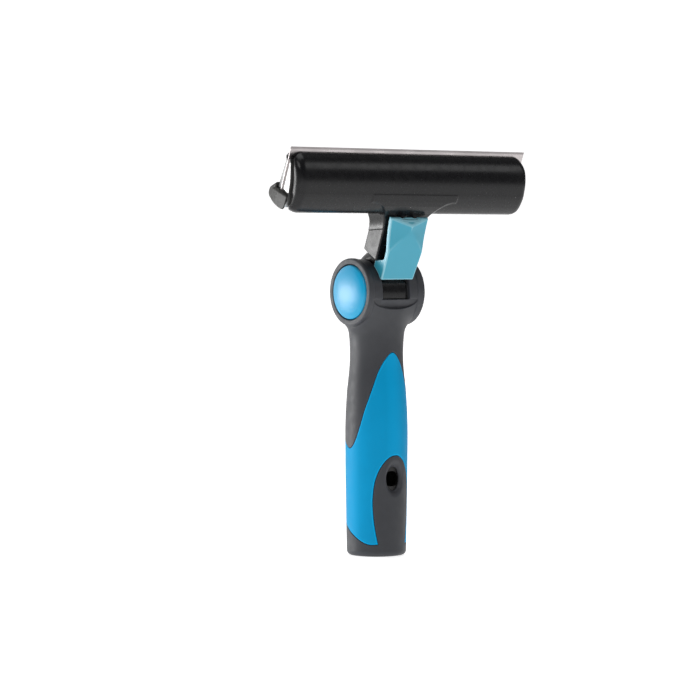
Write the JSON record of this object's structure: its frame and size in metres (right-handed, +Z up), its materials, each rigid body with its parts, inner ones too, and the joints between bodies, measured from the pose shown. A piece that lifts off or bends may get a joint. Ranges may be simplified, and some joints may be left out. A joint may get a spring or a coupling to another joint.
{
  "type": "window cleaning squeegee",
  "caption": "Swivel-head window cleaning squeegee scraper: clamped straight blade in a curved shell, quick-release lever, push-button swivel lock and waisted pole-socket handle",
  "frame": {"origin": "centre of the handle's bottom face, on the axis of the pole socket", "axes": "+Z up the handle, +X along the blade and the swivel axis towards the end cap, -Y to the front, where the release lever is"},
  "size_m": [0.15, 0.0504, 0.2084],
  "materials": {
    "grip_grey": "soft-touch matte, fine grain",
    "inlay_blue": "soft matte rubber",
    "liner_plastic": "moulded satin",
    "pin_steel": "ground",
    "cast_metal": "die cast",
    "cone_plastic": "natural acetal",
    "button_blue": "glossy",
    "spring_steel": "drawn wire",
    "washer_plastic": "satin",
    "cap_grey": "satin",
    "screw_steel": "bright",
    "shell_black": "satin black",
    "seat_aluminium": "mill finish",
    "blade_steel": "bright, honed edge",
    "plate_steel": "brushed",
    "strip_rubber": "matte",
    "jaw_grey": "glossy dark grey",
    "rod_plastic": "natural acetal",
    "lever_teal": "satin teal"
  },
  "bodies": {
    "handle": {"handle_body": "grip_grey", "grip_inlay": "inlay_blue", "socket_liner": "liner_plastic", "pivot_axle": "pin_steel", "end_cap": "cap_grey", "cap_screw": "screw_steel", "wear_washers": "washer_plastic"},
    "button": {"lock_button": "button_blue"},
    "clutch": {"lock_cone": "cone_plastic"},
    "head": {"hub_insert": "cast_metal", "button_spring": "spring_steel", "head_body": "shell_black", "blade_seat": "seat_aluminium", "seat_screws": "screw_steel", "blade_studs": "pin_steel", "blade": "blade_steel", "jaw_pin": "pin_steel", "lever_pin": "pin_steel"},
    "jaw": {"clamp_plate": "plate_steel", "plate_rivets": "screw_steel", "edge_strip": "strip_rubber", "clamp_jaw": "jaw_grey"},
    "rod": {"push_rod": "rod_plastic"},
    "lever": {"release_lever": "lever_teal"}
  },
  "joints": [
    {"name": "head_swivel", "type": "hinge", "parent": "handle", "child": "head", "pos_m": [0, 0, 0.1358], "axis": [1, 0, 0], "range_deg": [-67.5, 22.5]},
    {"name": "lock_button", "type": "slide", "parent": "handle", "child": "button", "axis": [1, 0, 0], "range_m": [0, 0.0028], "stiffness_N_per_m": 600, "springref_m": -0.002},
    {"name": "clutch_slide", "type": "slide", "parent": "head", "child": "clutch", "axis": [1, 0, 0], "range_m": [0, 0.0028], "deforming": ["button_spring"]},
    {"name": "release_lever", "type": "hinge", "parent": "head", "child": "lever", "pos_m": [0, -0.02726, 0.17235], "axis": [-1, 0, 0], "range_deg": [0, 60]},
    {"name": "clamp_opening", "type": "hinge", "parent": "head", "child": "jaw", "pos_m": [0, -0.01617, 0.18268], "axis": [-1, 0, 0], "range_deg": [0, 6]},
    {"name": "rod_slide", "type": "slide", "parent": "head", "child": "rod", "axis": [0, -0.9239, -0.3827], "range_m": [0, 0.0006]}
  ],
  "couplings": [
    {"joint": "clutch_slide", "follows": "lock_button", "ratio": 1},
    {"joint": "clamp_opening", "follows": "release_lever", "ratio": 0.1},
    {"joint": "rod_slide", "follows": "release_lever", "m_per_rad": 0.00052521}
  ]
}
